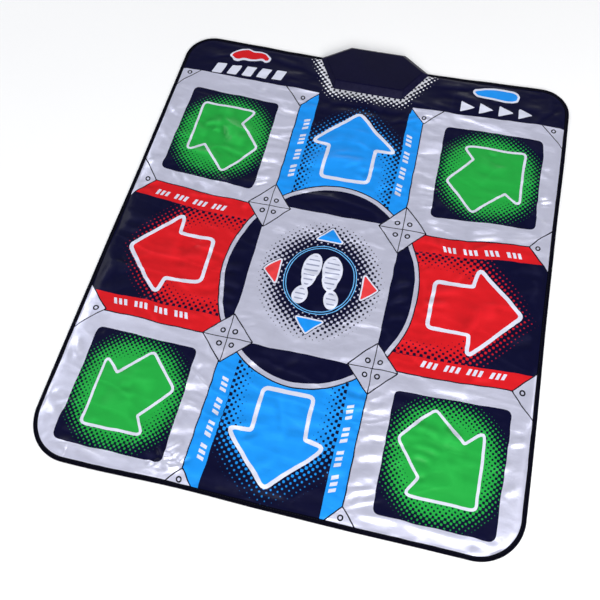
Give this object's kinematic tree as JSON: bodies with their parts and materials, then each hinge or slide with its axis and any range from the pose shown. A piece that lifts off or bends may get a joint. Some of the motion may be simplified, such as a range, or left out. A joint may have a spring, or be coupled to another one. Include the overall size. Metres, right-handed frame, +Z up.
{
  "type": "electronic dance mat",
  "caption": "Flexible padded floor mat that senses steps: a printed cover with pressing areas over foil contacts, bound edges and a flat control box at the back.",
  "frame": {"origin": "on the floor plane, under the centre of the whole object's bounding box", "axes": "+X to the player's right, +Y along the mat towards the control box, +Z up out of the printed side"},
  "size_m": [0.82, 0.9568, 0.02],
  "materials": {
    "printed_silver": "printed flexible vinyl, pearly silver with black frames",
    "printed_red": "printed flexible vinyl, red",
    "printed_blue": "printed flexible vinyl, blue",
    "printed_green": "printed flexible vinyl, green",
    "non_slip_back": "black non-slip dotted backing",
    "binding_tape": "black woven binding tape",
    "padding_foam": "grey closed-cell foam sheet",
    "spacer_foam": "white foam sheet with windows",
    "contact_film": "clear polyester film",
    "contact_foil": "aluminium foil patch",
    "housing_upper": "satin black ABS",
    "housing_lower": "matt black ABS",
    "screw_steel": "zinc-plated steel",
    "circuit_board": "green solder mask",
    "chip_package": "black epoxy package",
    "crystal_can": "nickel-plated can",
    "capacitor_sleeve": "dark blue sleeve",
    "clamp_bar": "black plastic bar"
  },
  "bodies": {
    "mat": {"top_cover": "printed_silver", "bottom_cover": "non_slip_back", "edge_binding": "binding_tape", "padding_foam": "padding_foam", "spacer_foam": "spacer_foam", "lower_contact_film": "contact_film", "upper_contact_film": "contact_film", "lower_foil_up": "contact_foil", "lower_foil_down": "contact_foil", "lower_foil_left": "contact_foil", "lower_foil_right": "contact_foil", "lower_foil_up_left": "contact_foil", "lower_foil_up_right": "contact_foil", "lower_foil_down_left": "contact_foil", "lower_foil_down_right": "contact_foil", "lower_foil_select": "contact_foil", "lower_foil_start": "contact_foil", "upper_housing": "housing_upper", "lower_housing": "housing_lower", "housing_screw_front_left": "screw_steel", "housing_screw_front_right": "screw_steel", "housing_screw_side_left": "screw_steel", "housing_screw_side_right": "screw_steel", "housing_screw_back_left": "screw_steel", "housing_screw_back_right": "screw_steel", "circuit_board": "circuit_board", "controller_chip": "chip_package", "crystal": "crystal_can", "capacitor": "capacitor_sleeve", "film_clamp_bar": "clamp_bar", "clamp_screw_left": "screw_steel", "clamp_screw_right": "screw_steel"},
    "step_up": {"step_area_up": "printed_blue", "upper_foil_up": "contact_foil"},
    "step_down": {"step_area_down": "printed_blue", "upper_foil_down": "contact_foil"},
    "step_left": {"step_area_left": "printed_red", "upper_foil_left": "contact_foil"},
    "step_right": {"step_area_right": "printed_red", "upper_foil_right": "contact_foil"},
    "step_up_left": {"step_area_up_left": "printed_green", "upper_foil_up_left": "contact_foil"},
    "step_up_right": {"step_area_up_right": "printed_green", "upper_foil_up_right": "contact_foil"},
    "step_down_left": {"step_area_down_left": "printed_green", "upper_foil_down_left": "contact_foil"},
    "step_down_right": {"step_area_down_right": "printed_green", "upper_foil_down_right": "contact_foil"},
    "select_button": {"button_area_select": "printed_red", "upper_foil_select": "contact_foil"},
    "start_button": {"button_area_start": "printed_blue", "upper_foil_start": "contact_foil"}
  },
  "joints": [
    {"name": "step_up_press", "type": "slide", "parent": "mat", "child": "step_up", "axis": [0, 0, 1], "range_m": [-0.0015, 0], "stiffness_N_per_m": 4000, "springref_m": 0.0004},
    {"name": "step_down_press", "type": "slide", "parent": "mat", "child": "step_down", "axis": [0, 0, 1], "range_m": [-0.0015, 0], "stiffness_N_per_m": 4000, "springref_m": 0.0004},
    {"name": "step_left_press", "type": "slide", "parent": "mat", "child": "step_left", "axis": [0, 0, 1], "range_m": [-0.0015, 0], "stiffness_N_per_m": 4000, "springref_m": 0.0004},
    {"name": "step_right_press", "type": "slide", "parent": "mat", "child": "step_right", "axis": [0, 0, 1], "range_m": [-0.0015, 0], "stiffness_N_per_m": 4000, "springref_m": 0.0004},
    {"name": "step_up_left_press", "type": "slide", "parent": "mat", "child": "step_up_left", "axis": [0, 0, 1], "range_m": [-0.0015, 0], "stiffness_N_per_m": 4000, "springref_m": 0.0004},
    {"name": "step_up_right_press", "type": "slide", "parent": "mat", "child": "step_up_right", "axis": [0, 0, 1], "range_m": [-0.0015, 0], "stiffness_N_per_m": 4000, "springref_m": 0.0004},
    {"name": "step_down_left_press", "type": "slide", "parent": "mat", "child": "step_down_left", "axis": [0, 0, 1], "range_m": [-0.0015, 0], "stiffness_N_per_m": 4000, "springref_m": 0.0004},
    {"name": "step_down_right_press", "type": "slide", "parent": "mat", "child": "step_down_right", "axis": [0, 0, 1], "range_m": [-0.0015, 0], "stiffness_N_per_m": 4000, "springref_m": 0.0004},
    {"name": "select_button_press", "type": "slide", "parent": "mat", "child": "select_button", "axis": [0, 0, 1], "range_m": [-0.0015, 0], "stiffness_N_per_m": 1500, "springref_m": 0.0004},
    {"name": "start_button_press", "type": "slide", "parent": "mat", "child": "start_button", "axis": [0, 0, 1], "range_m": [-0.0015, 0], "stiffness_N_per_m": 1500, "springref_m": 0.0004}
  ]
}
